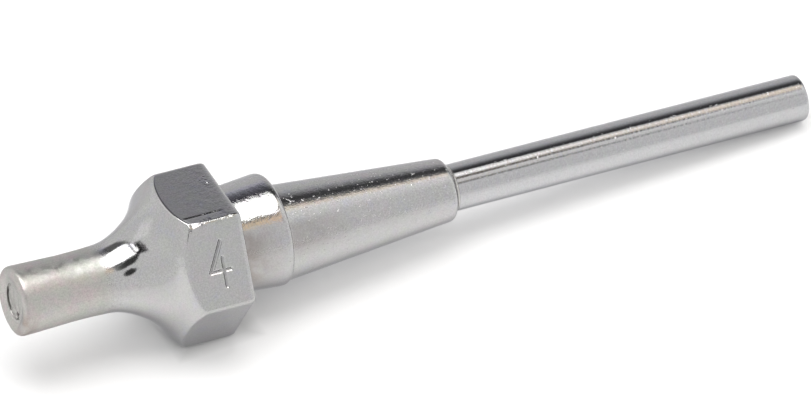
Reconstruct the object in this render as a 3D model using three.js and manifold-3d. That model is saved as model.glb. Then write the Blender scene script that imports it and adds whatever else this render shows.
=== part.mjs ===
// Suction nozzle for a desoldering iron, in millimetres.
//
// The nozzle's axis is X. The soldering end points to -X and the suction tube
// to +X. Two flats of the hexagon are horizontal, one facing +Z and one facing
// -Z, and the origin is on the axis at the middle of the overall length.
// Stations called S_... are measured along the axis from the soldering end.
//
// Five separate solids nest on the one axis:
//   nozzle_body    copper core: spigot, flare, hexagon, locking collar, taper
//   tip_cladding   iron cap over the core's spigot, tinned outside
//   bore_liner     iron liner of the soldering end's bore
//   suction_tube   stainless tube, from inside the core out of the taper
//   braze_fillet   filler metal where the tube leaves the taper

import * as THREE from 'three';
import { mergeVertices } from 'three/addons/utils/BufferGeometryUtils.js';
import Module from 'manifold-3d';

const wasm = await Module();
wasm.setup();

// ---------------------------------------------------------------- dimensions
const LENGTH = 40.0; // overall, soldering end to tube end

const SEGMENTS = 64; // facets round the axis, the same on every turned piece

// soldering end
const TIP_R = 1.625; // at the end
const TIP_WAIST_R = 1.56; // narrowest, just before the flare
const TIP_EDGE_R = 0.17; // rounding of the outer rim
const BORE_R = 0.86; // suction bore
const BORE_EDGE = 0.09; // bevel of the bore's mouth
const S_CLAD_END = 4.55; // where the cladding stops on the flare
const CLAD_WALL = 0.25;
const CLAD_FRONT = 0.32; // thickness of the cladding's end wall
const LINER_WALL = 0.15;
const S_LINER_END = 6.3;

// flare between the tip and the hexagon: [station, radius]
const FLARE = [
  [4.55, 1.632],
  [4.9, 1.72],
  [5.25, 1.85],
  [5.6, 2.02],
  [5.96, 2.235],
  [6.3, 2.475],
  [6.57, 2.725],
  [6.8, 2.985],
  [7.0, 3.265],
  [7.17, 3.51],
  [7.34, 3.735],
  [7.53, 3.93],
  [7.73, 4.08],
  [7.93, 4.18],
];

// hexagon
const HEX_AF = 7.1; // across flats
const HEX_CORNER_R = 0.25; // rounding of the six edges
const S_HEX_BACK = 10.22;
const HEX_BACK_EDGE = 0.16; // turned bevel of the rear corners
const HEX_BLANK_R = 4.3; // turned blank that the six flats are milled on

// locking collar: eccentric, and growing towards the taper
const COLLAR_R_FRONT = 2.48;
const COLLAR_R_BACK = 2.7;
const COLLAR_EDGE = 0.22;
const S_COLLAR_BACK = 12.85;
const COLLAR_OFFSET = 0.27;
const COLLAR_LEAN = 39; // direction of the eccentricity, degrees from +Z towards +Y

// heat-transfer taper
const TAPER_R_FRONT = 2.226;
const TAPER_R_BACK = 1.487;
const TAPER_EDGE = 0.24;
const S_TAPER_FRONT = 13.3;
const S_TAPER_BACK = 21.66;
const TAPER_SLOPE = (TAPER_R_FRONT - TAPER_R_BACK) / (S_TAPER_BACK - S_TAPER_FRONT);

// suction tube
const TUBE_R = 1.105;
const TUBE_WALL = 0.2;
const TUBE_EDGE = 0.09;
const S_TUBE_FRONT = 6.4;

// filler metal round the tube
const BRAZE_WIDTH = 0.17;
const BRAZE_LENGTH = 0.22;

// clearance between nested pieces, whose facets are aligned
const GAP = 0.02;

// engraved size mark, a plain numeral on the flat 60 degrees round from the top
const MARK_HEIGHT = 2.1;
const MARK_WIDTH = 1.0;
const MARK_STROKE = 0.17;
const MARK_DEPTH = 0.12;
const MARK_CENTRE_S = 8.76;
const MARK_RISE = 0; // above the middle of the flat

// ---------------------------------------------------------------- finishes
const finish = (color, roughness, metalness) =>
  new THREE.MeshStandardMaterial({ color, roughness, metalness });
const plating = finish(0xb9b7b9, 0.24, 1);
const tinned = finish(0xaaa59d, 0.42, 1);
const iron = finish(0x77726c, 0.5, 1);
const stainless = finish(0xbcbcc0, 0.2, 1);
const filler = finish(0xc8c3b4, 0.35, 1);

// ---------------------------------------------------------------- geometry
// A closed, outward-facing solid from any closed three.js geometry.
function toSolid(geometry) {
  const bare = geometry.clone();
  bare.deleteAttribute('normal');
  bare.deleteAttribute('uv');
  const merged = mergeVertices(bare, 1e-5);
  const position = merged.getAttribute('position').array;
  const index = merged.index.array;
  const kept = [];
  for (let i = 0; i < index.length; i += 3) {
    const [a, b, c] = [index[i], index[i + 1], index[i + 2]];
    if (a !== b && b !== c && c !== a) kept.push(a, b, c);
  }
  let volume = 0;
  const at = (i) => new THREE.Vector3().fromArray(position, i * 3);
  for (let i = 0; i < kept.length; i += 3) {
    volume += at(kept[i]).dot(at(kept[i + 1]).cross(at(kept[i + 2])));
  }
  if (volume < 0) {
    for (let i = 0; i < kept.length; i += 3) {
      [kept[i + 1], kept[i + 2]] = [kept[i + 2], kept[i + 1]];
    }
  }
  return new wasm.Manifold(
    new wasm.Mesh({
      numProp: 3,
      vertProperties: Float32Array.from(position),
      triVerts: Uint32Array.from(kept),
    }),
  );
}

function toGeometry(solid) {
  const mesh = solid.getMesh();
  const geometry = new THREE.BufferGeometry();
  geometry.setAttribute('position', new THREE.BufferAttribute(Float32Array.from(mesh.vertProperties), 3));
  geometry.setIndex(new THREE.BufferAttribute(Uint32Array.from(mesh.triVerts), 1));
  geometry.computeVertexNormals();
  return geometry;
}

// Turned shape about X from a profile of [station, radius] points. A profile
// that doesn't end where it starts runs from axis to axis.
function turned(profile) {
  const points = profile.map(([s, r]) => new THREE.Vector2(r, s - LENGTH / 2));
  const geometry = new THREE.LatheGeometry(points, SEGMENTS);
  geometry.rotateZ(-Math.PI / 2);
  return toSolid(geometry);
}

// Points of a quarter round from one tangent direction to the other.
function quarter(sCentre, rCentre, radius, from, to, steps = 4) {
  const points = [];
  for (let i = 0; i <= steps; i += 1) {
    const angle = THREE.MathUtils.degToRad(from + ((to - from) * i) / steps);
    points.push([sCentre + radius * Math.cos(angle), rCentre + radius * Math.sin(angle)]);
  }
  return points;
}

const closed = (profile) => [...profile, profile[0]];

// Outer line of the soldering end, from the rim to the start of the flare.
function tipOutline() {
  const slope = (TIP_R - TIP_WAIST_R) / 3.0;
  return [
    ...quarter(TIP_EDGE_R, TIP_R - TIP_EDGE_R, TIP_EDGE_R, 180, 90),
    [1.4, TIP_R - slope * 1.2],
    [2.9, TIP_WAIST_R],
    [3.6, TIP_WAIST_R + 0.004],
    [4.1, TIP_WAIST_R + 0.022],
    FLARE[0],
  ];
}

// ---------------------------------------------------------------- nozzle body
function hexPrism() {
  const shape = new THREE.Shape();
  const apothem = HEX_AF / 2;
  const corner = apothem / Math.cos(Math.PI / 6);
  const roundCentre = (apothem - HEX_CORNER_R) / Math.cos(Math.PI / 6);
  const steps = 4;
  for (let i = 0; i < 6; i += 1) {
    const middle = Math.PI / 6 + (i * Math.PI) / 3;
    for (let j = 0; j <= steps; j += 1) {
      const angle = middle - Math.PI / 6 + (j * Math.PI) / 3 / steps;
      const x = roundCentre * Math.cos(middle) + HEX_CORNER_R * Math.cos(angle);
      const y = roundCentre * Math.sin(middle) + HEX_CORNER_R * Math.sin(angle);
      if (i === 0 && j === 0) shape.moveTo(x, y);
      else shape.lineTo(x, y);
    }
  }
  shape.closePath();
  if (corner > HEX_BLANK_R) throw new Error('the turned blank is smaller than the hexagon');
  const geometry = new THREE.ExtrudeGeometry(shape, { depth: S_HEX_BACK + 0.8, bevelEnabled: false });
  geometry.rotateY(Math.PI / 2);
  geometry.translate(-0.2 - LENGTH / 2, 0, 0);
  return toSolid(geometry);
}

// Spigot for the cladding, shoulder, flare and the round blank of the hexagon.
function turnedFront() {
  const cornerR = HEX_AF / 2 / Math.cos(Math.PI / 6);
  const spigotR = TIP_R - CLAD_WALL - GAP;
  const spigotWaistR = TIP_WAIST_R - CLAD_WALL - GAP;
  return turned([
    [CLAD_FRONT + GAP, 0],
    [CLAD_FRONT + GAP, spigotR - 0.06],
    [CLAD_FRONT + GAP + 0.06, spigotR],
    [2.9, spigotWaistR],
    [S_CLAD_END + GAP, spigotWaistR],
    [S_CLAD_END + GAP, FLARE[0][1] + 0.004],
    ...FLARE.slice(1),
    [8.2, HEX_BLANK_R],
    [S_HEX_BACK - HEX_BACK_EDGE - 0.2, HEX_BLANK_R],
    [S_HEX_BACK - HEX_BACK_EDGE, cornerR - 0.05],
    [S_HEX_BACK, cornerR - 0.2],
    [S_HEX_BACK, 0],
  ]);
}

function collar() {
  const points = [
    [S_HEX_BACK - 0.6, 0],
    [S_HEX_BACK - 0.6, COLLAR_R_FRONT - 0.05],
    [S_COLLAR_BACK - COLLAR_EDGE * 1.6, COLLAR_R_BACK],
    [S_COLLAR_BACK - COLLAR_EDGE * 0.9, COLLAR_R_BACK - 0.015],
    [S_COLLAR_BACK - COLLAR_EDGE * 0.3, COLLAR_R_BACK - 0.11],
    [S_COLLAR_BACK, COLLAR_R_BACK - 0.26],
    [S_COLLAR_BACK + 0.1, 0],
  ];
  const lean = THREE.MathUtils.degToRad(COLLAR_LEAN);
  const geometry = new THREE.LatheGeometry(
    points.map(([s, r]) => new THREE.Vector2(r, s - LENGTH / 2)),
    SEGMENTS,
  );
  geometry.rotateZ(-Math.PI / 2);
  geometry.translate(0, COLLAR_OFFSET * Math.sin(lean), COLLAR_OFFSET * Math.cos(lean));
  return toSolid(geometry);
}

function taper() {
  return turned([
    [S_HEX_BACK - 0.4, 0],
    [S_HEX_BACK - 0.4, TAPER_R_FRONT - 0.05],
    [S_COLLAR_BACK - 0.5, TAPER_R_FRONT - 0.05],
    [S_COLLAR_BACK - 0.5, TAPER_R_FRONT + (S_TAPER_FRONT - S_COLLAR_BACK + 0.5) * TAPER_SLOPE],
    [S_TAPER_BACK - TAPER_EDGE, TAPER_R_BACK + 0.02],
    [S_TAPER_BACK - TAPER_EDGE * 0.55, TAPER_R_BACK - 0.03],
    [S_TAPER_BACK - TAPER_EDGE * 0.2, TAPER_R_BACK - 0.1],
    [S_TAPER_BACK, TAPER_R_BACK - 0.22],
    [S_TAPER_BACK, 0],
  ]);
}

// Stepped bore: liner in front, tube behind.
function boreCutter() {
  const linerHole = BORE_R + LINER_WALL + GAP;
  const tubeHole = TUBE_R + GAP;
  return turned([
    [-1, 0],
    [-1, linerHole],
    [S_LINER_END + GAP, linerHole],
    [S_LINER_END + GAP, BORE_R + 0.04],
    [S_TUBE_FRONT - GAP, BORE_R + 0.04],
    [S_TUBE_FRONT - GAP, tubeHole],
    [S_TAPER_BACK + 1, tubeHole],
    [S_TAPER_BACK + 1, 0],
  ]);
}

// Outline of a bent stroke of even width, in the flat's own plane.
function strokeShape(path) {
  const r = MARK_STROKE / 2;
  const line = path.map(([x, y]) => new THREE.Vector2(x, y));
  const side = (sign) => {
    const points = [];
    for (let i = 0; i < line.length; i += 1) {
      const before = i > 0 ? line[i].clone().sub(line[i - 1]).normalize() : null;
      const after = i < line.length - 1 ? line[i + 1].clone().sub(line[i]).normalize() : null;
      const a = before ?? after;
      const b = after ?? before;
      const normal = new THREE.Vector2(-a.y - b.y, a.x + b.x).normalize();
      const reach = r / normal.dot(new THREE.Vector2(-a.y, a.x));
      points.push(line[i].clone().addScaledVector(normal, sign * reach));
    }
    return points;
  };
  return new THREE.Shape([...side(-1), ...side(1).reverse()]);
}

// The numeral 4 from two strokes; x is along the nozzle, y up the flat.
function markCutter() {
  const h = MARK_HEIGHT / 2;
  const w = MARK_WIDTH / 2;
  const strokes = [
    [[w * 0.4, h], [-w, -h * 0.3], [w, -h * 0.3]],
    [[w * 0.36, h * 0.26], [w * 0.36, -h]],
  ];
  let cutter = null;
  for (const path of strokes) {
    const geometry = new THREE.ExtrudeGeometry(strokeShape(path), { depth: 1, bevelEnabled: false });
    // on the flat whose outward normal leans 60 degrees from +Z to -Y
    geometry.translate(MARK_CENTRE_S - LENGTH / 2, MARK_RISE, HEX_AF / 2 - MARK_DEPTH);
    geometry.rotateX(THREE.MathUtils.degToRad(60));
    const solid = toSolid(geometry);
    cutter = cutter ? cutter.add(solid) : solid;
  }
  return cutter;
}

function nozzleBody() {
  return hexPrism()
    .intersect(turnedFront())
    .add(collar())
    .add(taper())
    .subtract(boreCutter())
    .subtract(markCutter());
}

// ---------------------------------------------------------------- tip
function tipCladding() {
  const inner = BORE_R + LINER_WALL + GAP;
  return turned(
    closed([
      [0, inner],
      ...tipOutline().slice(0, -1),
      [S_CLAD_END, FLARE[0][1] - 0.002],
      [S_CLAD_END, TIP_WAIST_R - CLAD_WALL],
      [2.9, TIP_WAIST_R - CLAD_WALL],
      [CLAD_FRONT + 0.06, TIP_R - CLAD_WALL],
      [CLAD_FRONT, TIP_R - CLAD_WALL - 0.06],
      [CLAD_FRONT, inner],
    ]),
  );
}

function boreLiner() {
  return turned(
    closed([
      [0.02, BORE_R + BORE_EDGE],
      [0.02, BORE_R + LINER_WALL],
      [S_LINER_END, BORE_R + LINER_WALL],
      [S_LINER_END, BORE_R],
      [0.02 + BORE_EDGE, BORE_R],
    ]),
  );
}

// ---------------------------------------------------------------- tube
function suctionTube() {
  const inner = TUBE_R - TUBE_WALL;
  const e = TUBE_EDGE;
  return turned(
    closed([
      [S_TUBE_FRONT, inner],
      [S_TUBE_FRONT, TUBE_R - 0.05],
      [S_TUBE_FRONT + 0.05, TUBE_R],
      [LENGTH - e, TUBE_R],
      [LENGTH - e * 0.45, TUBE_R - e * 0.18],
      [LENGTH, TUBE_R - e * 0.85],
      [LENGTH, inner + 0.03],
      [LENGTH - 0.03, inner],
    ]),
  );
}

function brazeFillet() {
  const r = TUBE_R + GAP;
  const s = S_TAPER_BACK + GAP;
  return turned(
    closed([
      [s, r],
      [s, r + BRAZE_WIDTH],
      [s + BRAZE_LENGTH * 0.2, r + BRAZE_WIDTH * 0.62],
      [s + BRAZE_LENGTH * 0.5, r + BRAZE_WIDTH * 0.3],
      [s + BRAZE_LENGTH, r + 0.02],
      [s + BRAZE_LENGTH, r],
    ]),
  );
}

// ---------------------------------------------------------------- assembly
const nozzle = new THREE.Group();
function place(name, solid, material) {
  const mesh = new THREE.Mesh(toGeometry(solid), material);
  mesh.name = name;
  nozzle.add(mesh);
}

place('nozzle_body', nozzleBody(), plating);
place('tip_cladding', tipCladding(), tinned);
place('bore_liner', boreLiner(), iron);
place('suction_tube', suctionTube(), stainless);
place('braze_fillet', brazeFillet(), filler);

export default nozzle;
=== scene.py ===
"""Desoldering suction nozzle lying on a white sweep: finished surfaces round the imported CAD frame.

Every mesh here is a closed, doubly periodic grid: a profile loop that runs once round the piece's wall section,
swept round the nozzle's axis. Lengths below are in millimetres and become metres when a mesh is written.
Stations S are measured along the axis from the soldering end; the row frame's X is S - LENGTH / 2.
"""

import math

import bpy
import numpy as np
from mathutils import Matrix, Vector


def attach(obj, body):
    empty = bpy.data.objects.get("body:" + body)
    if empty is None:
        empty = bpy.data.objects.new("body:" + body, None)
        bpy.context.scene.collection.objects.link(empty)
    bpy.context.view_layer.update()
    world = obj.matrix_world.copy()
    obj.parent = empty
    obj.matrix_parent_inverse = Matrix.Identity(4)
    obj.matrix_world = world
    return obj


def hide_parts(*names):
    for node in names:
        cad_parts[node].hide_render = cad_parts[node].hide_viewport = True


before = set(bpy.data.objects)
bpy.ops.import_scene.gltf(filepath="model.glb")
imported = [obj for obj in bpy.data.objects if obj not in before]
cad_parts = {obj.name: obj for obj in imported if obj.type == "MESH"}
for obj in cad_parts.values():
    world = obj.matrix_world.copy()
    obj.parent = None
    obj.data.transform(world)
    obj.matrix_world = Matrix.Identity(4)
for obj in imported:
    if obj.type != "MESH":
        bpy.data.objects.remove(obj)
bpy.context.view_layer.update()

MM = 0.001
LENGTH = 40.0


# ------------------------------------------------------------------ camera
# The camera stands far off with a long lens, in front of and above the nozzle, looking down at its soldering end.
CAMERA_AZIMUTH = math.radians(-27.681)
CAMERA_ELEVATION = math.radians(38.357)
CAMERA_ROLL = math.radians(3.449)
CAMERA_DISTANCE = 464.92
CAMERA_SCALE = 21.777  # image points per millimetre at the nozzle's middle, on an 811 point wide frame
CAMERA_AIM = (0.336, 0.214)  # the nozzle's middle, right and up of the view's centre, millimetres


def camera_basis():
    a, e, r = CAMERA_AZIMUTH, CAMERA_ELEVATION, CAMERA_ROLL
    back = Vector((math.sin(a) * math.cos(e), -math.cos(a) * math.cos(e), math.sin(e)))
    right = Vector((0, 0, 1)).cross(back).normalized()
    up = back.cross(right)
    return (
        right * math.cos(r) + up * math.sin(r),
        up * math.cos(r) - right * math.sin(r),
        back,
    )


def make_camera():
    right, up, back = camera_basis()
    at = back * CAMERA_DISTANCE - right * CAMERA_AIM[0] - up * CAMERA_AIM[1]
    data = bpy.data.cameras.new("camera")
    data.sensor_fit = "HORIZONTAL"
    data.sensor_width = 36.0
    data.lens = CAMERA_SCALE * CAMERA_DISTANCE / 811 * 36.0
    data.clip_start = 0.01
    data.clip_end = 20.0
    camera = bpy.data.objects.new("camera", data)
    camera.matrix_world = Matrix(
        (
            (right.x, up.x, back.x, at.x * MM),
            (right.y, up.y, back.y, at.y * MM),
            (right.z, up.z, back.z, at.z * MM),
            (0, 0, 0, 1),
        )
    )
    bpy.context.scene.collection.objects.link(camera)
    bpy.context.scene.camera = camera


make_camera()


# ------------------------------------------------------------------ shared shapes
HEX_APOTHEM = 3.55
HEX_CORNER_R = 0.25
S_HEX_BACK = 10.22
S_SHOULDER = 4.57
TIP_R = 1.625
TIP_WAIST_R = 1.56
BORE_R = 0.86
S_TAPER_BACK = 21.66
TAPER_R_FRONT, S_TAPER_FRONT = 2.226, 13.3
TAPER_R_BACK = 1.487
TUBE_R = 1.105
COLLAR_OFFSET = 0.27
COLLAR_LEAN = math.radians(-39)  # from +Z towards -Y

FLARE = np.array(
    [
        (0.0, 1.640), (1.4, 1.598), (2.9, 1.560), (3.6, 1.566), (4.1, 1.586), (4.55, 1.632), (4.9, 1.72), (5.25, 1.85),
        (5.6, 2.02), (5.96, 2.235), (6.3, 2.475), (6.57, 2.725), (6.8, 2.985), (7.0, 3.265), (7.17, 3.51), (7.34, 3.735),
        (7.53, 3.93), (7.73, 4.08), (7.93, 4.18), (8.2, 4.27),
    ]
)


def spline(knots, x):
    """Natural cubic through (x, y) knots."""
    xs, ys = knots[:, 0], knots[:, 1]
    n = len(xs)
    h = np.diff(xs)
    a = np.zeros((n, n))
    b = np.zeros(n)
    a[0, 0] = a[-1, -1] = 1
    for i in range(1, n - 1):
        a[i, i - 1], a[i, i], a[i, i + 1] = h[i - 1], 2 * (h[i - 1] + h[i]), h[i]
        b[i] = 6 * ((ys[i + 1] - ys[i]) / h[i] - (ys[i] - ys[i - 1]) / h[i - 1])
    m = np.linalg.solve(a, b)
    x = np.asarray(x, float)
    i = np.clip(np.searchsorted(xs, x) - 1, 0, n - 2)
    t = x - xs[i]
    u = xs[i + 1] - x
    return (
        m[i] * u**3 / (6 * h[i])
        + m[i + 1] * t**3 / (6 * h[i])
        + (ys[i] / h[i] - m[i] * h[i] / 6) * u
        + (ys[i + 1] / h[i] - m[i + 1] * h[i] / 6) * t
    )


def flare_radius(s):
    return spline(FLARE, s)


def hex_radius(g):
    """Radius of the rounded hexagon at angle g from +Z towards -Y."""
    d = np.mod(g + math.pi / 6, math.pi / 3) - math.pi / 6
    flat = HEX_APOTHEM / np.cos(d)
    c = (HEX_APOTHEM - HEX_CORNER_R) / math.cos(math.pi / 6)
    e = math.pi / 6 - np.abs(d)
    corner = c * np.cos(e) + np.sqrt(np.maximum(HEX_CORNER_R**2 - (c * np.sin(e)) ** 2, 0))
    limit = math.atan2(c * math.sin(math.pi / 6), HEX_APOTHEM)
    return np.where(np.abs(d) > limit, corner, flat)


def collar_radius(s, g):
    r = 2.448 + (s - 10.15) * 0.0855
    d = g - COLLAR_LEAN
    return COLLAR_OFFSET * np.cos(d) + np.sqrt(r**2 - (COLLAR_OFFSET * np.sin(d)) ** 2)


def taper_radius(s):
    slope = (TAPER_R_FRONT - TAPER_R_BACK) / (S_TAPER_BACK - S_TAPER_FRONT)
    return TAPER_R_FRONT - slope * (s - S_TAPER_FRONT)


def bend(p0, p1, p2, reach0, reach1, steps):
    """Rounded corner at p1 between p0 and p2, which are arrays of (s, r) for every column."""
    d0 = p0 - p1
    d0 /= np.linalg.norm(d0, axis=-1, keepdims=True)
    d1 = p2 - p1
    d1 /= np.linalg.norm(d1, axis=-1, keepdims=True)
    a, b = p1 + d0 * reach0, p1 + d1 * reach1
    rows = []
    for t in np.linspace(0, 1, steps):
        # a conic close to a circular arc: a quadratic with its middle pulled towards the corner
        w = 1.25
        k = (1 - t) ** 2 + 2 * w * t * (1 - t) + t**2
        rows.append(((1 - t) ** 2 * a + 2 * w * t * (1 - t) * p1 + t**2 * b) / k)
    return rows


def sweep(rows, angles):
    """(R, C, 2) profile rows of (s, r) on (C,) angles to (R, C, 3) points in the row frame, in millimetres."""
    rows = np.array([np.broadcast_to(np.asarray(r, float), (len(angles), 2)) for r in rows])
    s, r = rows[..., 0], rows[..., 1]
    return np.stack([s - LENGTH / 2, -r * np.sin(angles), r * np.cos(angles)], -1)


def grid_mesh(name, points, masks=None, flip=False):
    """A closed mesh from a doubly periodic grid of points; masks are named values from 0 to 1 for the materials."""
    n_rows, n_cols = points.shape[:2]
    index = np.arange(n_rows * n_cols).reshape(n_rows, n_cols)
    a = index
    b = np.roll(index, -1, 1)
    c = np.roll(np.roll(index, -1, 0), -1, 1)
    d = np.roll(index, -1, 0)
    faces = np.stack([a, b, c, d], -1).reshape(-1, 4)
    co = points.reshape(-1, 3)
    # outward: positive volume
    v = co[faces]
    volume = np.einsum("ij,ij->i", v[:, 0], np.cross(v[:, 1], v[:, 2])).sum() + np.einsum(
        "ij,ij->i", v[:, 0], np.cross(v[:, 2], v[:, 3])
    ).sum()
    if (volume < 0) != flip:
        faces = faces[:, ::-1]
    mesh = bpy.data.meshes.new(name)
    mesh.from_pydata((co * MM).tolist(), [], faces.tolist())
    mesh.update()
    mesh.shade_smooth()
    for label, values in (masks or {}).items():
        mesh.attributes.new(label, "FLOAT", "POINT").data.foreach_set("value", values.reshape(-1).astype(np.float32))
    return mesh


def place(name, points, node, material, masks=None):
    mesh = grid_mesh(name, points, masks)
    piece = bpy.data.objects.new(name, mesh)
    bpy.context.scene.collection.objects.link(piece)
    mesh.materials.append(material)
    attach(piece, "root")
    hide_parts(node)
    return piece


# ------------------------------------------------------------------ smooth noise for unevenness built into the meshes
def value_noise(seed, size=64):
    rng = np.random.default_rng(seed)
    table = rng.uniform(-1, 1, (size, size))

    def sample(u, v):
        """Periodic in v with the given size; u and v are in cells."""
        u0, v0 = np.floor(u).astype(int), np.floor(v).astype(int)
        fu, fv = u - u0, v - v0
        fu, fv = fu * fu * (3 - 2 * fu), fv * fv * (3 - 2 * fv)
        t = lambda i, j: table[np.mod(i, size), np.mod(j, size)]
        return (
            t(u0, v0) * (1 - fu) * (1 - fv)
            + t(u0 + 1, v0) * fu * (1 - fv)
            + t(u0, v0 + 1) * (1 - fu) * fv
            + t(u0 + 1, v0 + 1) * fu * fv
        )

    return sample


# ------------------------------------------------------------------ materials
def new_material(name):
    material = bpy.data.materials.new(name)
    material.use_nodes = True
    nodes, links = material.node_tree.nodes, material.node_tree.links
    nodes.clear()
    out = nodes.new("ShaderNodeOutputMaterial")
    shader = nodes.new("ShaderNodeBsdfPrincipled")
    links.new(shader.outputs["BSDF"], out.inputs["Surface"])
    shader.inputs["Metallic"].default_value = 1.0
    shader.inputs["Specular Tint"].default_value = (0.62, 0.62, 0.64, 1)  # metals of this kind are darker at a glancing angle
    return material, nodes, links, shader


def noise(nodes, links, scale, detail, rough=0.5, stretch=None):
    """Object-space noise; stretch scales the axes to draw it out along the nozzle."""
    where = nodes.new("ShaderNodeTexCoord")
    mapping = nodes.new("ShaderNodeMapping")
    mapping.inputs["Scale"].default_value = stretch or (1, 1, 1)
    links.new(where.outputs["Object"], mapping.inputs["Vector"])
    tex = nodes.new("ShaderNodeTexNoise")
    tex.inputs["Scale"].default_value = scale
    tex.inputs["Detail"].default_value = detail
    tex.inputs["Roughness"].default_value = rough
    links.new(mapping.outputs["Vector"], tex.inputs["Vector"])
    return tex.outputs["Fac"]


def remap(nodes, links, value, low, high, to_low, to_high):
    node = nodes.new("ShaderNodeMapRange")
    node.inputs["From Min"].default_value = low
    node.inputs["From Max"].default_value = high
    node.inputs["To Min"].default_value = to_low
    node.inputs["To Max"].default_value = to_high
    links.new(value, node.inputs["Value"])
    return node.outputs["Result"]


def math_node(nodes, links, operation, a, b=None, clamp=False):
    node = nodes.new("ShaderNodeMath")
    node.operation = operation
    node.use_clamp = clamp
    for socket, value in ((node.inputs[0], a), (node.inputs[1], b)):
        if value is None:
            continue
        if isinstance(value, (int, float)):
            socket.default_value = value
        else:
            links.new(value, socket)
    return node.outputs[0]


def mix_color(nodes, links, fac, a, b):
    node = nodes.new("ShaderNodeMix")
    node.data_type = "RGBA"
    if isinstance(fac, (int, float)):
        node.inputs[0].default_value = fac
    else:
        links.new(fac, node.inputs[0])
    for socket, value in ((node.inputs[6], a), (node.inputs[7], b)):
        if isinstance(value, tuple):
            socket.default_value = (*value, 1)
        else:
            links.new(value, socket)
    return node.outputs[2]


def bump(nodes, links, height, distance, strength=1.0, normal=None):
    node = nodes.new("ShaderNodeBump")
    node.inputs["Strength"].default_value = strength
    node.inputs["Distance"].default_value = distance
    links.new(height, node.inputs["Height"])
    if normal is not None:
        links.new(normal, node.inputs["Normal"])
    return node.outputs["Normal"]


def along_axis(nodes, links, from_s, to_s):
    """0 before station from_s and 1 after to_s."""
    where = nodes.new("ShaderNodeTexCoord")
    split = nodes.new("ShaderNodeSeparateXYZ")
    links.new(where.outputs["Object"], split.inputs[0])
    return remap(nodes, links, split.outputs[0], (from_s - LENGTH / 2) * MM, (to_s - LENGTH / 2) * MM, 0, 1)


def mask_of(nodes, label):
    node = nodes.new("ShaderNodeAttribute")
    node.attribute_name = label
    return node.outputs["Fac"]


def blend(nodes, links, amount, a, b):
    """A number that goes from a to b with amount."""
    node = nodes.new("ShaderNodeMix")
    links.new(amount, node.inputs[0])
    for socket, value in ((node.inputs[2], a), (node.inputs[3], b)):
        if isinstance(value, (int, float)):
            socket.default_value = value
        else:
            links.new(value, socket)
    return node.outputs[0]


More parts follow.
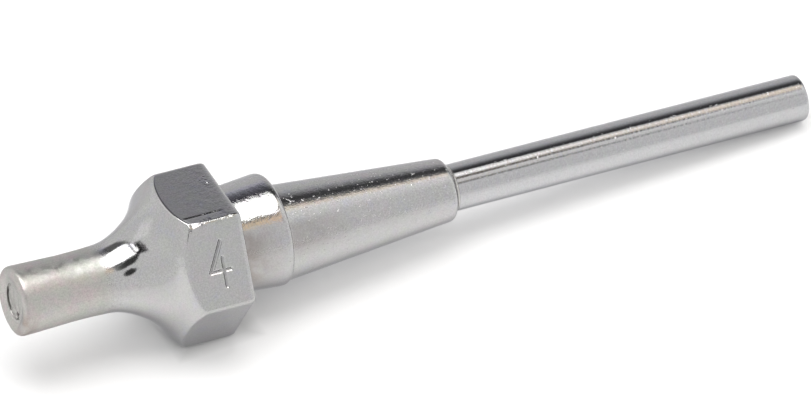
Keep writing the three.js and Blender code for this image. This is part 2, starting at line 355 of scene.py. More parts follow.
def metal(name, tones, rough, peel, grain, stretch=(1, 1, 1), tone_mm=1.0, speckle=0.2, nicks=None, calm=None, soft_end=None, stain_and_shade=None, dirt_and_shade=None):
    """Plated, tinned or drawn metal.

    tones: four colours that drift into each other over tone_mm; rough: roughness range; peel and grain: (mm, depth in
    mm) of the coarse and the fine relief; speckle: spread of the fine light and dark grain; nicks: (depth
    in mm, from_s) of sparse small nicks; calm: (from_s, to_s, share of the
    relief before from_s); soft_end: (from_s, to_s, tone,
    roughness, share of the relief) that the finish turns into; stain_and_shade: tone where its mask is 1, a stain in
    places and painted shade in others; dirt_and_shade: (tone, roughness) where its mask is 1, dirt in places and
    painted shade in grooves, nicks and the bore.
    """
    material, nodes, links, shader = new_material(name)
    drift = remap(nodes, links, noise(nodes, links, 1000 / tone_mm, 4.0, 0.65, stretch), 0.38, 0.62, 0, 1)
    patch = remap(nodes, links, noise(nodes, links, 1000 / (tone_mm * 0.71), 4.0, 0.65, stretch), 0.38, 0.62, 0, 1)
    spot = remap(nodes, links, noise(nodes, links, 1000 / (tone_mm * 0.43), 3.0, 0.6, stretch), 0.42, 0.6, 0, 1)
    first = mix_color(nodes, links, drift, tones[0], tones[1])
    second = mix_color(nodes, links, drift, tones[2], tones[3])
    colour = mix_color(nodes, links, patch, first, second)
    colour = mix_color(nodes, links, math_node(nodes, links, "MULTIPLY", spot, 0.5), colour, tones[1])
    fine = noise(nodes, links, 1000 / (grain[0] * 3), 3.0, 0.6, stretch)
    roughness = remap(nodes, links, fine, 0.3, 0.7, *rough)
    coarse_relief = noise(nodes, links, 1000 / peel[0], 2.0, 0.5, stretch)
    fine_relief = noise(nodes, links, 1000 / grain[0], 3.0, 0.6, stretch)
    relief = math_node(
        nodes, links, "ADD", math_node(nodes, links, "MULTIPLY", coarse_relief, peel[1]), math_node(nodes, links, "MULTIPLY", fine_relief, grain[1])
    )
    if nicks:
        sparse = remap(nodes, links, noise(nodes, links, 1000 / 0.17, 2.0, 0.5), 0.66, 0.76, 0, nicks[0])
        sparse = math_node(nodes, links, "MULTIPLY", sparse, along_axis(nodes, links, nicks[1] - 0.1, nicks[1]))
        relief = math_node(nodes, links, "ADD", relief, sparse)
    if calm:
        turn = along_axis(nodes, links, calm[0], calm[1])
        relief = math_node(nodes, links, "MULTIPLY", relief, blend(nodes, links, turn, calm[2], 1.0))
    if soft_end:
        turn = along_axis(nodes, links, soft_end[0], soft_end[1])
        colour = mix_color(nodes, links, turn, colour, soft_end[2])
        roughness = blend(nodes, links, turn, roughness, soft_end[3])
        relief = math_node(nodes, links, "MULTIPLY", relief, blend(nodes, links, turn, 1.0, soft_end[4]))
    # stain, and painted shade where the mask marks the collar beside the hexagon
    if stain_and_shade:
        uneven = remap(nodes, links, noise(nodes, links, 1000 / 0.6, 4.0, 0.65), 0.3, 0.6, 0.4, 1)
        colour = mix_color(nodes, links, math_node(nodes, links, "MULTIPLY", mask_of(nodes, "stain_and_shade"), uneven), colour, stain_and_shade)
    grit = remap(nodes, links, noise(nodes, links, 1000 / 0.075, 2.0, 0.7, stretch), 0.25, 0.75, 1 - speckle, 1 + speckle)
    scaled = nodes.new("ShaderNodeVectorMath")
    scaled.operation = "SCALE"
    links.new(colour, scaled.inputs[0])
    links.new(grit, scaled.inputs["Scale"])
    colour = scaled.outputs[0]
    # dirt, and painted shade in the numeral's groove, the nicks, the pit and the bore, where the mask says so
    if dirt_and_shade:
        broken = remap(nodes, links, noise(nodes, links, 1000 / 0.15, 3.0, 0.6), 0.3, 0.62, 0.35, 1)
        amount = math_node(nodes, links, "MULTIPLY", mask_of(nodes, "dirt_and_shade"), broken)
        colour = mix_color(nodes, links, amount, colour, dirt_and_shade[0])
        roughness = blend(nodes, links, amount, roughness, dirt_and_shade[1])
    links.new(colour, shader.inputs["Base Color"])
    links.new(roughness, shader.inputs["Roughness"])
    links.new(bump(nodes, links, relief, MM), shader.inputs["Normal"])
    return material


# ------------------------------------------------------------------ nozzle body
MARK_CENTRE = (8.76, 0.0)
MARK_SIZE = (1.0, 2.1)
MARK_DEPTH = 0.075
MARK_HALF = 0.135


def mark_depth(s, w):
    """Depth of the engraved numeral 4 at station s and height w up the flat."""
    x = (s - MARK_CENTRE[0]) / (MARK_SIZE[0] / 2)
    y = (w - MARK_CENTRE[1]) / (MARK_SIZE[1] / 2)
    paths = [[(0.4, 1.0), (-1.0, -0.3)], [(-1.0, -0.3), (1.0, -0.3)], [(0.36, 0.26), (0.36, -1.0)]]
    best = np.full(np.shape(x), 1e9)
    px, py = x * MARK_SIZE[0] / 2, y * MARK_SIZE[1] / 2
    for (ax, ay), (bx, by) in paths:
        ax, bx = ax * MARK_SIZE[0] / 2, bx * MARK_SIZE[0] / 2
        ay, by = ay * MARK_SIZE[1] / 2, by * MARK_SIZE[1] / 2
        dx, dy = bx - ax, by - ay
        t = np.clip(((px - ax) * dx + (py - ay) * dy) / (dx * dx + dy * dy), 0, 1)
        best = np.minimum(best, np.hypot(px - ax - t * dx, py - ay - t * dy))
    u = np.clip((MARK_HALF - best) / 0.13, 0, 1)
    return MARK_DEPTH * u * u * (3 - 2 * u)


def body_angles():
    """Columns round the axis: close together on the engraved flat and on the six corners."""
    edge = math.atan2((HEX_APOTHEM - HEX_CORNER_R) * math.tan(math.pi / 6), HEX_APOTHEM)
    out = []
    for face in range(6):
        middle = face * math.pi / 3
        if face in (0, 1):
            w = np.linspace(-1, 1, 171)[:-1] * HEX_APOTHEM * math.tan(edge)
            out.append(middle + np.arctan2(w, HEX_APOTHEM))
        else:
            out.append(middle + np.linspace(-edge, edge, 41)[:-1])
        out.append(middle + np.linspace(edge, math.pi / 3 - edge, 15)[:-1])
    return np.concatenate(out)


def body_points():
    g = body_angles()
    n = len(g)
    col = lambda s, r: np.stack([np.broadcast_to(np.asarray(s, float), (n,)), np.broadcast_to(np.asarray(r, float), (n,))], -1)
    h = hex_radius(g)
    # station where the flare meets the hexagon at each angle
    s_fine = np.linspace(S_SHOULDER, 8.15, 3000)
    meet = np.interp(h, flare_radius(s_fine), s_fine)
    rows = []
    r_clad = TIP_WAIST_R - 0.27
    r_seam = flare_radius(S_SHOULDER)
    rows += [col(S_SHOULDER, r_clad), col(S_SHOULDER, r_clad + 0.15), col(S_SHOULDER, r_seam - 0.004), col(S_SHOULDER, r_seam - 0.001)]
    rows += [col(S_SHOULDER + ds, flare_radius(S_SHOULDER + ds)) for ds in (0.0006, 0.0014, 0.003, 0.01)]
    before = meet - 0.07
    for t in np.linspace(0, 1, 74)[1:-1]:
        s = S_SHOULDER + (before - S_SHOULDER) * t
        rows.append(col(s, flare_radius(s)))
    rows += bend(col(before, flare_radius(before)), col(meet, h), col(meet + 1, h), 0.12, 0.10, 9)
    s0, s1 = meet + 0.10, S_HEX_BACK - 0.45
    for t in np.linspace(0, 1, 124)[1:-1]:
        rows.append(col(s0 + (s1 - s0) * t, h))
    first_flat, last_flat = len(rows) - 122, len(rows)
    rows += bend(col(s1 - 1, h), col(S_HEX_BACK, h), col(S_HEX_BACK, h - 1), 0.44, 0.2, 16)
    c0 = collar_radius(S_HEX_BACK, g)
    for t in np.linspace(0, 1, 8)[1:-1]:
        rows.append(col(S_HEX_BACK, (h - 0.2) + (c0 + 0.06 - (h - 0.2)) * t))
    rows += bend(col(S_HEX_BACK, c0 + 1), col(S_HEX_BACK, c0), col(S_HEX_BACK + 1, collar_radius(S_HEX_BACK + 1, g)), 0.05, 0.05, 5)
    s_back = 12.86
    for t in np.linspace(0, 1, 24)[1:-1]:
        s = S_HEX_BACK + 0.05 + (s_back - 0.42 - S_HEX_BACK - 0.05) * t
        rows.append(col(s, collar_radius(s, g)))
    c1 = collar_radius(s_back, g)
    r_root = taper_radius(s_back + 0.04)
    rows += bend(col(s_back - 1, collar_radius(s_back - 1, g)), col(s_back, c1), col(s_back + 0.04, r_root), 0.4, np.minimum(0.28, (c1 - r_root) * 0.8)[:, None], 14)
    rows += bend(col(s_back + 0.04, c1), col(s_back + 0.04, r_root), col(s_back + 1.04, taper_radius(s_back + 1.04)), np.minimum(0.1, (c1 - r_root) * 0.17)[:, None], 0.12, 7)
    s_start = s_back + 0.2
    for t in np.linspace(0, 1, 60):
        s = s_start + (S_TAPER_BACK - 0.3 - s_start) * t
        rows.append(col(s, taper_radius(s)))
    rows += bend(col(S_TAPER_BACK - 1, taper_radius(S_TAPER_BACK - 1)), col(S_TAPER_BACK, taper_radius(S_TAPER_BACK)), col(S_TAPER_BACK, 1.1), 0.27, 0.25, 12)
    bore = TUBE_R + 0.012
    rows += [col(S_TAPER_BACK, 1.19), col(S_TAPER_BACK, bore + 0.02), col(S_TAPER_BACK - 0.02, bore)]
    for s in np.linspace(S_TAPER_BACK - 1, 6.6, 12):
        rows.append(col(s, bore))
    rows += [col(6.385, bore), col(6.38, bore - 0.01), col(6.38, 0.91), col(6.375, 0.905), col(6.325, 0.905), col(6.32, 0.91), col(6.32, 1.02), col(6.31, 1.022)]
    liner = BORE_R + 0.15 + 0.012
    for s in np.linspace(5.6, 0.6, 6):
        rows.append(col(s, liner))
    rows += [col(0.36, liner), col(0.345, liner + 0.01), col(0.345, 1.3), col(0.36, 1.34), col(0.42, 1.36), col(2.9, r_clad), col(4.0, r_clad)]
    points = sweep(rows, g)
    # engrave the numeral on the flat 60 degrees from the top
    on_face = np.abs(g - math.pi / 3) < math.radians(27)
    normal = np.array([0, -math.sin(math.pi / 3), math.cos(math.pi / 3)])
    up = np.array([0, math.cos(math.pi / 3), math.sin(math.pi / 3)])
    block = points[first_flat:last_flat][:, on_face]
    depth = mark_depth(block[..., 0] + LENGTH / 2, block @ up)
    dirt_and_shade = np.zeros(points.shape[:2])
    # painted shade: the numeral's groove is darkened in its colour, most along the middle of each stroke
    dirt_and_shade[first_flat:last_flat, on_face] = np.clip((depth / MARK_DEPTH - 0.3) / 0.6, 0, 1) * 0.45
    patch = points[first_flat:last_flat]
    patch[:, on_face] = block - depth[..., None] * normal
    points[first_flat:last_flat] = patch
    # the flat on top: milled twice, which leaves a shallow groove and a slightly tilted strip along its near edge
    top = np.abs(g) < math.radians(29)
    block = points[first_flat:last_flat][:, top]
    s, y = block[..., 0] + LENGTH / 2, block[..., 1]
    w = -(y + 1.49)  # distance into the strip
    line = np.interp(w, [-1, -0.06, -0.005, 0.02, 0.045, 0.085, 0.45, 0.56], [0.0, 0.0, 0.0115, 0.0175, 0.018, 0.0145, 0.008, 0.005])
    fade = np.clip((9.62 - s) / 0.3, 0, 1)
    ends = np.clip((s - (meet[top] + 0.1)) / 0.12, 0, 1) * np.clip((s1 - s) / 0.12, 0, 1)
    sink = line * fade * np.clip((2.04 - np.abs(y)) / 0.14, 0, 1) * ends
    for s_pit, y_pit, size, depth in ((9.69, 0.52, 0.06, 0.02), (9.72, 0.98, 0.045, 0.009), (9.46, 0.8, 0.035, 0.006), (9.74, 0.75, 0.05, 0.006), (9.6, 0.62, 0.04, 0.008)):
        near = ((s - s_pit) ** 2 + (y - y_pit) ** 2) / size**2
        sink = sink + depth * np.exp(-near) - 0.4 * depth * np.exp(-((np.sqrt(near) - 1.5) ** 2) * 3)
    block[..., 2] -= sink
    patch = points[first_flat:last_flat]
    patch[:, top] = block
    points[first_flat:last_flat] = patch
    # nicks along the near edge of that flat, and a pit at the front end of the edge
    ragged = value_noise(5)
    outer = slice(first_flat - 12, last_flat + 16)
    block = points[outer]
    s = block[..., 0] + LENGTH / 2
    radius = np.hypot(block[..., 1], block[..., 2])
    turn = np.arctan2(-block[..., 1], block[..., 2])
    off = (turn - math.radians(30)) * HEX_APOTHEM
    bite = np.maximum(ragged(s / 0.13, off / 0.12) * 0.7 + ragged(s / 0.05 + 9, off / 0.07) * 0.5 + 0.1, 0)
    bite = bite * 0.03 * np.exp(-((off / 0.14) ** 2)) * np.clip((10.4 - s) / 1.6, 0.25, 1)
    bite = bite * np.clip((s - 7.9) / 0.4, 0.15, 1)
    pit = 0.06 * np.exp(-(((s - 7.66) ** 2 + (off - 0.17) ** 2) / 0.055**2))
    worn = 4.0605 - 0.046 * np.clip((8.3 - s) / 0.5, 0, 1)
    radius_new = np.where(np.abs(off) < 0.35, np.minimum(radius, worn), radius) - bite - pit
    block[..., 1] *= radius_new / radius
    block[..., 2] *= radius_new / radius
    points[outer] = block
    # painted shade: the nicks and the pit are darkened in their colour
    dirt_and_shade[outer] = np.maximum(dirt_and_shade[outer], np.clip(bite / 0.03 + pit / 0.02, 0, 0.9))
    # painted shade: the collar is darkened close to the hexagon, on its lower side, where the hexagon shades it; the
    # taper behind it gets a faint blotchy tint
    s = points[..., 0] + LENGTH / 2
    low_side = np.clip((g - math.radians(33)) / 0.25, 0, 1) * np.clip((math.radians(128) - g) / 0.5, 0, 1)
    stain_and_shade = np.clip((12.5 - s) / 1.9, 0, 1) * (s > S_HEX_BACK + 0.001) * low_side
    window = np.clip((g - math.radians(38)) / 0.15, 0, 1) * np.clip((math.radians(90) - g) / 0.4, 0, 1)
    stain_and_shade = stain_and_shade + 0.5 * np.clip((16.5 - s) / 2.5, 0, 1) * (s > 12.9) * window
    return points, {"dirt_and_shade": dirt_and_shade, "stain_and_shade": stain_and_shade}


PLATING_TONE = (0.443, 0.437, 0.444)
# the darker stain tone paints shade on the collar beside the hexagon and tints the taper; the dark soil tone paints
# shade in the numeral, the nicks and the pit
plating = metal(
    "plating", (PLATING_TONE, (0.437, 0.445, 0.42), (0.456, 0.428, 0.437), (0.424, 0.424, 0.456)), (0.05, 0.12), (0.28, 0.0075), (0.095, 0.006),
    tone_mm=0.9, speckle=0.135, nicks=(0.011, 12.6), calm=(7.4, 9.5, 0.2), stain_and_shade=(0.30, 0.272, 0.258), dirt_and_shade=((0.13, 0.125, 0.13), 0.4),
)
body, body_masks = body_points()
place("nozzle_body_finished", body, "nozzle_body", plating, body_masks)


# ------------------------------------------------------------------ soldering end
ROUND = np.linspace(0, 2 * math.pi, 193)[:-1]


def flat_rows(rows):
    return [np.broadcast_to(np.asarray(r, float), (len(ROUND), 2)).copy() for r in rows]


def bend_flat(p0, p1, p2, reach0, reach1, steps):
    return [tuple(p) for p in bend(np.array(p0, float), np.array(p1, float), np.array(p2, float), reach0, reach1, steps)]


def reach_forward(points):
    """The photographed tip stands a little further forward than a square-cut one, most of all at the bottom."""
    fade = np.clip((3.0 - (points[..., 0] + LENGTH / 2)) / 2.4, 0, 1)
    rim = np.clip((np.hypot(points[..., 1], points[..., 2]) - 0.9) / 0.45, 0, 1)
    points[..., 0] -= fade * (0.02 + 0.13 * rim * rim * (3 - 2 * rim) - 0.025 * points[..., 2])


def cladding_points():
    inner = BORE_R + 0.15 + 0.0015
    rows = [(0.003, inner + 0.0005), (0.002, inner + 0.003), (0.001, 1.04), (0.0, 1.07), (0.0, 1.11)]
    rows += bend_flat((0.0, 1), (0, flare_radius(0.0)), (1, flare_radius(1.0)), 0.44, 0.3, 20)
    first = 3
    rows += [(s, float(flare_radius(s))) for s in np.linspace(0.34, S_SHOULDER - 0.006, 112)]
    last = len(rows)
    r_seam = float(flare_radius(S_SHOULDER))
    rows += [(S_SHOULDER - 0.0025, r_seam), (S_SHOULDER - 0.0012, r_seam), (S_SHOULDER - 0.0008, r_seam - 0.001), (S_SHOULDER - 0.001, r_seam - 0.006)]
    rows += [(S_SHOULDER - 0.004, 1.6), (S_SHOULDER - 0.01, 1.33), (S_SHOULDER - 0.02, TIP_WAIST_R - 0.25)]
    rows += [(3.6, TIP_WAIST_R - 0.25), (2.9, TIP_WAIST_R - 0.25), (1.5, 1.35), (0.4, 1.374), (0.34, 1.36), (0.325, 1.31), (0.325, inner + 0.02), (0.3, inner), (0.006, inner)]
    points = sweep(flat_rows(rows), ROUND)
    # the tinning lies a little unevenly, thinning out towards the flare
    wave = value_noise(11, 16)
    run = np.cumsum([0.0] + [math.dist(rows[k], rows[k - 1]) for k in range(1, last)])
    turn = ROUND / (2 * math.pi) * 16
    u, v = np.meshgrid(run[first:last], turn, indexing="ij")
    lift = wave(u / 0.75, v) * 0.6 + wave(u / 0.33 + 5, v * 2 + 3) * 0.3 + wave(u / 0.16 + 8, v * 4 + 1) * 0.12
    fade = np.clip((4.3 - u) / 1.4, 0, 1)
    outward = np.array([(r[0] - 0.5, r[1] - 1.0) for r in rows[first:last]])
    outward = np.where((np.arange(first, last) < 24)[:, None], outward, np.array([0.0, 1.0]))
    outward /= np.linalg.norm(outward, axis=1, keepdims=True)
    push = (lift * fade * 0.012 - 0.008 * fade)[..., None]
    block = points[first:last]
    block[..., 0] += push[..., 0] * outward[:, :1]
    block[..., 1] += -push[..., 0] * outward[:, 1:] * np.sin(ROUND)
    block[..., 2] += push[..., 0] * outward[:, 1:] * np.cos(ROUND)
    block[..., 0] = np.maximum(block[..., 0], -LENGTH / 2)
    points[first:last] = block
    reach_forward(points)
    # flux has browned the rounded edge on its lower near side
    rim = np.array([min(1.0, max(0.0, (r[1] - 1.15) / 0.2)) * min(1.0, max(0.0, (0.85 - r[0]) / 0.5)) if k < last else 0.0 for k, r in enumerate(rows)])
    side = np.clip((ROUND - math.radians(62)) / 0.5, 0, 1) * np.clip((math.radians(170) - ROUND) / 0.5, 0, 1)
    patchy = value_noise(41, 16)
    blot = np.clip(patchy(np.array([r[0] for r in rows])[:, None] / 0.3 + 0 * turn, turn + 0 * rim[:, None]) + 0.65, 0.15, 1)
    return points, {"stain_and_shade": rim[:, None] * side * blot}


tinned = metal(
    "tinned", ((0.445, 0.418, 0.4), (0.415, 0.432, 0.39), (0.475, 0.405, 0.413), (0.415, 0.4, 0.405)), (0.3, 0.5), (0.38, 0.011), (0.13, 0.006),
    tone_mm=1.0, speckle=0.17, soft_end=(3.8, 4.65, PLATING_TONE, 0.085, 0.2), stain_and_shade=(0.33, 0.288, 0.262),
)
cladding, cladding_masks = cladding_points()
place("tip_cladding_finished", cladding, "tip_cladding", tinned, cladding_masks)


def liner_points():
    """Iron bore, wetted with solder that has drawn back to a thin meniscus near the mouth, open low down."""
    outer = BORE_R + 0.15
    rows = [(0.006, BORE_R + 0.12), (0.003, outer - 0.003), (0.004, outer), (3.0, outer), (6.29, outer), (6.3, outer - 0.01), (6.3, BORE_R + 0.01), (6.29, BORE_R)]
    rows += [(s, BORE_R) for s in np.linspace(6.0, 1.5, 20)]
    rows += [(s, BORE_R - 0.02 * (1.5 - s) ** 2 * 6) for s in np.linspace(1.4, 0.75, 8)]
    n_plain = len(rows)
    wall = sweep(flat_rows(rows), ROUND)
    reach_forward(wall[:4])
    points = [wall]
    # the meniscus: rings that run from the wall to the off-centre opening and back out
    low = math.radians(150)
    hole = np.array([-math.sin(low), math.cos(low)]) * 0.71
    far = np.cos((ROUND - math.radians(228)) / 2) ** 2  # 1 on the side away from the camera
    edge = 0.02 + 0.07 * far
    wave = value_noise(23, 16)
    comb = value_noise(29, 48)

    def ring(s, t):
        """t is 0 on the wall and 1 on the opening."""
        radius = BORE_R + (0.11 - BORE_R) * t
        y = hole[0] * t - radius * np.sin(ROUND)
        z = hole[1] * t + radius * np.cos(ROUND)
        return np.stack([np.broadcast_to(s, (len(ROUND),)) - LENGTH / 2, y, z], -1)

    rings = [ring(0.66, 0.25), ring(0.6, 0.5), ring(0.55, 0.75), ring(0.5, 0.93), ring(0.44, 1.0), ring(0.36, 1.0), ring(0.32, 0.97)]
    # painted shade: the opening and the rings round it are dark in colour
    dirt_and_shade = [np.ones(len(ROUND))] * len(rings)
    turn = ROUND / (2 * math.pi)
    for t in np.linspace(0.93, 0.12, 34):
        surface = edge + (0.06 - edge) * t**1.3 + 0.09 * max(0.0, t - 0.8) / 0.2
        ripple = wave(t * 5 + 0 * turn, turn * 16) * 0.014 + comb(t * 1.6 + 0 * turn, turn * 48) * 0.03 * (0.2 + t)
        ripple = ripple * min(1.0, (0.97 - t) * 9, (t - 0.1) * 9)
        rings.append(ring(surface + ripple, t))
        streak = np.clip(comb(t * 0.9 + 7 + 0 * turn, turn * 48) * 1.3, 0, 0.5) * np.clip((t - 0.2) * 1.6, 0, 1)
        # painted shade darkens the rings next to the opening; the streaks are dark tone in the solder
        dirt_and_shade.append(np.maximum(np.clip((t - 0.88) * 20, 0, 1), streak))
    # painted shade darkens the crevice on that side
    far = np.clip(np.cos(ROUND - math.radians(245)) * 4 - 3.0, 0, 0.7)  # the crevice is open high up on that side
    for t, share in ((0.1, 0.02), (0.08, 0.1), (0.06, 0.45), (0.04, 0.85), (0.02, 1.0), (0.0, 0.95), (-0.002, 0.5), (-0.003, 0.0)):
        rings.append(ring(np.maximum(edge + 0.24 * far * share, 0.03 + 0.05 * share), t))
        dirt_and_shade.append(np.clip(far * 1.0, 0, 0.7) * min(1.0, max(share, 0.5 if t <= 0 else 0) * 1.6))
    rings = np.array(rings)
    reach_forward(rings)
    points.append(rings)
    mouth = bend_flat((1, BORE_R), (0.006, BORE_R), (0.006, 2), 0.02, 0.1, 8)
    lip = sweep(flat_rows(mouth), ROUND)
    reach_forward(lip)
    points.append(lip)
    dirt_and_shade = np.concatenate([np.zeros((n_plain, len(ROUND))), np.array(dirt_and_shade), np.zeros((len(mouth), len(ROUND)))])
    # painted shade on the mouth's edge above the crevice
    dirt_and_shade[-len(mouth)] = far * 0.4
    return np.concatenate(points), {"dirt_and_shade": dirt_and_shade}


# the dark soil tone paints shade in the bore's opening and crevice, and darkens streaks in the solder
liner = metal(
    "liner", ((0.44, 0.43, 0.41), (0.425, 0.432, 0.4), (0.455, 0.415, 0.415), (0.4, 0.39, 0.38)), (0.28, 0.45), (0.3, 0.014), (0.11, 0.006),
    tone_mm=0.45, speckle=0.26, soft_end=(1.0, 2.5, (0.3, 0.28, 0.27), 0.5, 1.0), dirt_and_shade=((0.115, 0.1, 0.1), 0.55),
)
film, film_masks = liner_points()
place("bore_liner_finished", film, "bore_liner", liner, film_masks)


# ------------------------------------------------------------------ suction tube
def tube_points():
    inner = TUBE_R - 0.2
    rows = [(6.4, inner), (6.4, 1.05), (6.45, TUBE_R)]
    rows += [(s, TUBE_R) for s in np.linspace(7.0, 39.76, 80)]
    rows += bend_flat((39, TUBE_R), (LENGTH, TUBE_R), (LENGTH, 0.5), 0.22, 0.14, 10)
    rows += [(LENGTH, 0.95), (LENGTH, inner + 0.03), (LENGTH - 0.01, inner + 0.01), (LENGTH - 0.03, inner)]
    rows += [(s, inner) for s in np.linspace(39, 7, 30)]
    return sweep(flat_rows(rows), ROUND)


stainless = metal(
    "stainless", ((0.46, 0.455, 0.465), (0.45, 0.46, 0.455), (0.468, 0.45, 0.462), (0.445, 0.443, 0.47)), (0.03, 0.07), (0.3, 0.0017), (0.1, 0.0009),
    (2.2, 1, 1), tone_mm=0.9, speckle=0.15, nicks=(0.003, 8),
)
place("suction_tube_finished", tube_points(), "suction_tube", stainless)


def braze_points():
    r = TUBE_R + 0.012
    s = S_TAPER_BACK + 0.012
    rows = [(s, r), (s, r + 0.1), (s, r + 0.16), (s + 0.01, r + 0.175)]
    for t in np.linspace(0.08, 0.95, 10):
        rows.append((s + 0.215 * t, r + 0.17 * (1 - t) ** 2.2 + 0.006))
    rows += [(s + 0.22, r), (s + 0.11, r)]
    return sweep(flat_rows(rows), ROUND)


braze = metal(
    "braze", ((0.45, 0.44, 0.425), (0.44, 0.445, 0.42), (0.46, 0.43, 0.425), (0.41, 0.4, 0.39)), (0.16, 0.28), (0.2, 0.006), (0.08, 0.003), tone_mm=0.4
)
place("braze_fillet_finished", braze_points(), "braze_fillet", braze)


# ------------------------------------------------------------------ floor
# The nozzle lies on the rear edge of its lowest flat and on the end of its tube.
def make_floor():
    x0, z0 = S_HEX_BACK - 0.3 - LENGTH / 2, -HEX_APOTHEM + 0.012
    x1, z1 = LENGTH / 2 - 0.15, -TUBE_R + 0.005
    tilt = math.atan2(z1 - z0, x1 - x0)
    along = Vector((math.cos(tilt), 0, math.sin(tilt)))
    across = Vector((0, 1, 0))
    origin = Vector((x0, 0, z0 - 0.004))
    half = 1500
    mesh = bpy.data.meshes.new("floor")
    corners = [origin + along * (a * half) + across * (b * half) for a, b in ((-1, -1), (1, -1), (1, 1), (-1, 1))]
    mesh.from_pydata([(c * MM)[:] for c in corners], [], [(0, 1, 2, 3)])
    floor = bpy.data.objects.new("floor", mesh)
    bpy.context.scene.collection.objects.link(floor)
    material = bpy.data.materials.new("sweep_paper")
    material.use_nodes = True
    shader = material.node_tree.nodes["Principled BSDF"]
    # the paper is palest round the nozzle and gives the metal a little more light from below there
    nodes, links = material.node_tree.nodes, material.node_tree.links
    where = nodes.new("ShaderNodeTexCoord")
    split = nodes.new("ShaderNodeSeparateXYZ")
    links.new(where.outputs["Object"], split.inputs[0])
    side = math_node(nodes, links, "ABSOLUTE", split.outputs[1])
    pale = mix_color(nodes, links, remap(nodes, links, side, 8 * MM, 34 * MM, 0, 1), (0.86, 0.86, 0.86), (0.71, 0.71, 0.71))
    # painted shadow: the paper is darkened in a soft patch round where the hexagon stands on it
    ahead = math_node(nodes, links, "ABSOLUTE", math_node(nodes, links, "SUBTRACT", split.outputs[0], (9.3 - LENGTH / 2) * MM))
    off = math_node(nodes, links, "MAXIMUM", math_node(nodes, links, "SUBTRACT", ahead, 1.5 * MM), math_node(nodes, links, "SUBTRACT", side, 2.05 * MM))
    pale = mix_color(nodes, links, remap(nodes, links, off, 0, 0.75 * MM, 0.32, 0), pale, (0.2, 0.2, 0.2))
    links.new(pale, shader.inputs["Base Color"])
    path = nodes.new("ShaderNodeLightPath")
    glow = nodes.new("ShaderNodeEmission")
    near = remap(nodes, links, side, 2 * MM, 9 * MM, 0.2, 0)
    near = math_node(nodes, links, "MULTIPLY", near, remap(nodes, links, split.outputs[0], 8 * MM, 19 * MM, 1, 0.25))
    links.new(math_node(nodes, links, "MULTIPLY", near, path.outputs["Is Glossy Ray"]), glow.inputs["Strength"])
    both = nodes.new("ShaderNodeAddShader")
    links.new(shader.outputs[0], both.inputs[0])
    links.new(glow.outputs[0], both.inputs[1])
    links.new(both.outputs[0], nodes["Material Output"].inputs["Surface"])
    shader.inputs["Roughness"].default_value = 0.9
    shader.inputs["Specular IOR Level"].default_value = 0.1
    mesh.materials.append(material)
    return tilt


FLOOR_TILT = make_floor()


# ------------------------------------------------------------------ studio
# One rounded softbox hangs a little behind the nozzle, with a dark gap above it, a dark arm and a warm strip below its
# near side, and the dark front of the lens. Directions are given by x, the share of the direction that runs along the
# nozzle, and by lean, the angle from the zenith in degrees, positive away from the camera.
BOX_TOP = [
    (-0.58, 5), (-0.53, 18), (-0.45, 26), (-0.4, 29), (-0.3, 34), (-0.2, 34.5), (-0.1, 32), (0, 29.5), (0.1, 27.5), (0.2, 25),
    (0.233, 22), (0.3, 20.5), (0.364, 18.5), (0.371, 19), (0.397, 19), (0.43, 16),
]
BOX_BOTTOM = [
    (-0.58, 3), (-0.53, -4), (-0.45, -6), (-0.4, -8), (-0.3, -12), (-0.2, -15), (-0.1, -17), (0, -17.5), (0.1, -18.5),
    (0.2, -19.5), (0.24, -18.5), (0.3, -8), (0.335, -3), (0.36, 3), (0.371, 4), (0.397, 5), (0.43, 6),
]
BOX_STRENGTH = 2.3
ROOM_STRENGTH = 1.3  # the whole studio's brightness
GAP_TOP = [(-0.38, 36), (-0.3, 43), (-0.2, 50), (-0.1, 56), (0, 57), (0.1, 57), (0.2, 55), (0.6, 52)]
ARM_TOP = [
    (-0.64, 12), (-0.6, 12), (-0.57, 8), (-0.545, 0), (-0.53, -7), (-0.46, -9), (-0.4, -11), (-0.34, -13.5), (-0.27, -18), (-0.2, -22), (-0.1, -24),
    (0, -23), (0.1, -20), (0.25, -17),
]
ARM_BOTTOM = [
    (-0.64, 0), (-0.6, -10), (-0.57, -19), (-0.52, -27), (-0.46, -29.5), (-0.4, -31), (-0.33, -33), (-0.25, -37), (-0.16, -38.5), (-0.07, -37),
    (0, -35), (0.1, -32), (0.25, -30),
]


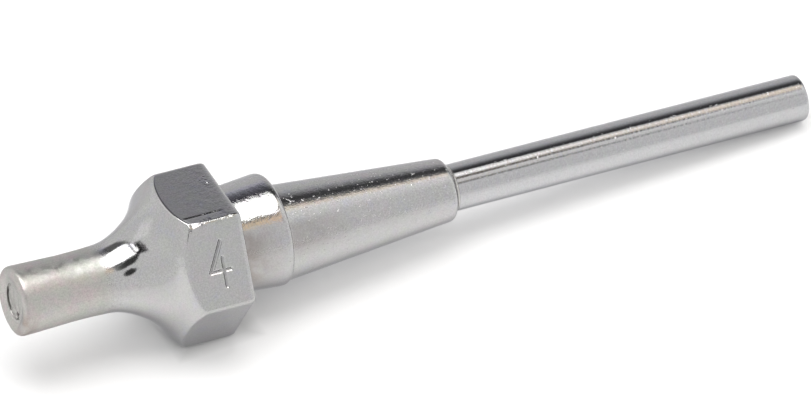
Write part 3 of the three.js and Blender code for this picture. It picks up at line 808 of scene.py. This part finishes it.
def make_studio():
    world = bpy.data.worlds.new("studio")
    bpy.context.scene.world = world
    world.use_nodes = True
    nodes, links = world.node_tree.nodes, world.node_tree.links
    nodes.clear()
    out = nodes.new("ShaderNodeOutputWorld")
    where = nodes.new("ShaderNodeTexCoord")
    split = nodes.new("ShaderNodeSeparateXYZ")
    links.new(where.outputs["Generated"], split.inputs[0])
    x, y, z = split.outputs
    m = lambda op, a, b=None, clamp=False: math_node(nodes, links, op, a, b, clamp)
    lean = m("MULTIPLY", m("ARCTAN2", y, z), 180 / math.pi)

    def curve(value, points, low=-180.0, high=180.0):
        """Piecewise linear function of value through points whose heights lie between low and high."""
        a, b = points[0][0], points[-1][0]
        ramp = nodes.new("ShaderNodeValToRGB")
        ramp.color_ramp.interpolation = "LINEAR"
        elements = ramp.color_ramp.elements
        while len(elements) > 1:
            elements.remove(elements[-1])
        for k, (at, height) in enumerate(points):
            e = elements[0] if k == 0 else elements.new((at - a) / (b - a))
            e.position = (at - a) / (b - a)
            v = (height - low) / (high - low)
            e.color = (v, v, v, 1)
        links.new(remap(nodes, links, value, a, b, 0, 1), ramp.inputs["Fac"])
        return m("ADD", m("MULTIPLY", ramp.outputs["Color"], high - low), low)

    def step(value, at, soft):
        """0 below at, 1 above it."""
        gap = m("SUBTRACT", value, at)
        return remap(nodes, links, gap, -soft, soft, 0, 1)

    def between(value, low, high, soft):
        return m("MULTIPLY", step(value, low, soft), m("SUBTRACT", 1.0, step(value, high, soft)))

    times = lambda *a: a[0] if len(a) == 1 else m("MULTIPLY", a[0], times(*a[1:]))
    invert = lambda a: m("SUBTRACT", 1.0, a)

    top, bottom = curve(x, BOX_TOP), curve(x, BOX_BOTTOM)
    box = times(between(lean, bottom, top, 0.8), between(x, -0.58, 0.43, 0.004))

    # the room: pale all round, darker behind the nozzle in the directions that lie towards its tube
    right = curve(lean, [
        (-180, 0.95), (-105, 0.87), (-92, 0.8), (-80, 0.74), (-66, 0.73), (-48, 0.75), (-34, 0.75), (-26, 0.82), (-16, 0.93), (-4, 1.0),
        (3, 0.95), (8, 0.66), (13, 0.26), (18, 0.11), (23, 0.06), (33, 0.06), (38, 0.13), (44, 0.23), (50, 0.37), (56, 0.48),
        (62, 0.57), (70, 0.64), (80, 0.72), (90, 0.79), (107, 0.9), (127, 0.95), (180, 0.97),
    ], 0, 1)
    left = curve(lean, [(-180, 0.9), (-90, 0.8), (-60, 0.76), (0, 0.8), (60, 0.76), (76, 0.77), (95, 0.88), (125, 0.97), (180, 1.0)], 0, 1)
    to_right = remap(nodes, links, x, 0.08, 0.26, 0, 1)
    room = nodes.new("ShaderNodeMix")
    links.new(to_right, room.inputs[0])
    links.new(left, room.inputs[2])
    links.new(right, room.inputs[3])
    level = room.outputs[0]
    # dark gap above the box
    gap = times(between(lean, top, curve(x, GAP_TOP), 3.5), between(x, -0.34, 0.245, 0.05))
    level = times(level, invert(times(gap, 0.8)))
    # dark arm below the box, fading towards the tube
    arm = times(between(lean, curve(x, ARM_BOTTOM), curve(x, ARM_TOP), 1.4), between(x, -0.64, 1.0, 0.01))
    arm_depth = curve(x, [(-0.64, 0.95), (-0.5, 0.94), (-0.35, 0.93), (-0.2, 0.86), (-0.1, 0.7), (0, 0.55), (0.1, 0.4), (0.2, 0.0)], 0, 1)
    level = times(level, invert(times(arm, arm_depth)))
    # thin dark rim along the box's near edge
    rim = times(between(lean, m("SUBTRACT", bottom, 6.5), bottom, 1.5), between(x, -0.25, 0.32, 0.02))
    level = times(level, invert(times(rim, 0.85)))
    # two thin dark lines below the box's narrow end
    line_depth = curve(x, [(0.335, 0.0), (0.355, 1.0), (0.371, 1.0), (0.376, 0.85), (0.382, 0.8), (0.387, 0.45), (0.393, 0.15), (0.44, 0.0)], 0, 1)
    line2_depth = curve(x, [(0.335, 0.0), (0.355, 0.8), (0.371, 0.8), (0.376, 0.35), (0.387, 0.15), (0.4, 0.0)], 0, 1)
    line = m("ADD", times(between(lean, -16, -4, 1.5), line_depth), times(between(lean, -41, -31, 1.5), line2_depth))
    level = times(level, invert(line))
    # a brighter strip just below the dark directions on the tube's side, and a paler wall at the far left
    level = m("ADD", level, times(between(lean, -2, 9, 2), between(x, 0.46, 0.6, 0.02), 0.22))
    level = m("ADD", level, times(between(lean, 30, 66, 6), between(x, -0.7, -0.45, 0.03), 0.17))
    # brighter wall at the far right, whose light reaches the floor
    path = nodes.new("ShaderNodeLightPath")
    soft = invert(path.outputs["Is Glossy Ray"])
    level = m("ADD", level, times(step(x, 0.68, 0.05), soft, 0.9))
    # light from the near side, which fills the shadows
    level = m("ADD", level, times(remap(nodes, links, y, 0.1, -0.5, 0, 1), soft, 0.31))
    # no gap in the directions past the tube's end
    pale = times(step(x, 0.6, 0.06), path.outputs["Is Glossy Ray"], invert(between(lean, 26, 68, 6)))
    level = m("ADD", times(level, invert(pale)), times(pale, m("MAXIMUM", level, 0.85)))
    # frame at the box's far left end: two slanting dark bars
    slant = m("SUBTRACT", m("ADD", x, 0.62), m("MULTIPLY", lean, 0.0047))
    bar = times(between(slant, -0.05, 0.03, 0.01), between(lean, -7, 26, 3))
    level = times(level, invert(times(bar, 0.95)))
    slant2 = m("SUBTRACT", m("ADD", x, 0.532), m("MULTIPLY", lean, 0.0052))
    bar2 = times(between(slant2, -0.024, 0.024, 0.006), between(lean, -2, 36, 2))
    level = times(level, invert(times(bar2, 0.8)))
    # the lens
    dx = m("DIVIDE", m("ADD", x, 0.366), 0.155)
    dl = m("DIVIDE", m("ADD", m("ADD", lean, 50.5), times(m("ADD", x, 0.366), 25.0)), 8.5)
    lens = invert(step(m("ADD", m("MULTIPLY", dx, dx), m("MULTIPLY", dl, dl)), 1.0, 0.25))
    level = times(level, invert(times(lens, 0.93)))

    colour = nodes.new("ShaderNodeCombineColor")
    cold = times(between(lean, 22, 62, 6), step(x, 0.17, 0.05), blend(nodes, links, step(x, 0.3, 0.03), 0.24, 0.05))
    for k, share in enumerate((0.1, 0.1, 1.0)):
        links.new(times(level, m("ADD", 1.0, times(cold, share))), colour.inputs[k])
    # warm strip below the box's near edge
    warm = times(between(lean, -37, m("SUBTRACT", bottom, 7.5), 3.0), between(x, 0.14, 0.32, 0.05))
    warm_far = m("ADD", times(between(lean, 1, 10, 3.0), between(x, 0.44, 0.6, 0.02), 0.35), times(between(lean, -8, 13, 3.0), between(x, 0.388, 0.43, 0.008), 0.45))
    tinted = mix_color(nodes, links, m("ADD", times(warm, 0.7), warm_far), colour.outputs[0], (1.15, 0.80, 0.42))
    background = nodes.new("ShaderNodeBackground")
    links.new(tinted, background.inputs["Color"])
    background.inputs["Strength"].default_value = ROOM_STRENGTH
    glow = nodes.new("ShaderNodeBackground")
    glow.inputs["Color"].default_value = (1.0, 0.995, 0.985, 1)
    dimmer = curve(x, [(-0.6, 1.0), (0.335, 1.0), (0.36, 0.37), (0.371, 0.32), (0.385, 0.22), (0.397, 0.12), (0.43, 0.05)], 0, 1)
    glow_level = times(box, invert(times(bar2, 0.9)), invert(bar), dimmer, blend(nodes, links, soft, 1.0, 0.78))
    links.new(times(glow_level, BOX_STRENGTH * ROOM_STRENGTH), glow.inputs["Strength"])
    add = nodes.new("ShaderNodeAddShader")
    links.new(background.outputs[0], add.inputs[0])
    links.new(glow.outputs[0], add.inputs[1])
    # seen directly, past the floor's edge, the studio is plain pale
    plain = nodes.new("ShaderNodeBackground")
    plain.inputs["Color"].default_value = (0.95, 0.95, 0.95, 1)
    mix = nodes.new("ShaderNodeMixShader")
    links.new(path.outputs["Is Camera Ray"], mix.inputs[0])
    links.new(add.outputs[0], mix.inputs[1])
    links.new(plain.outputs[0], mix.inputs[2])
    links.new(mix.outputs[0], out.inputs["Surface"])


make_studio()

scene = bpy.context.scene
scene.view_settings.view_transform = "Standard"
scene.view_settings.look = "None"
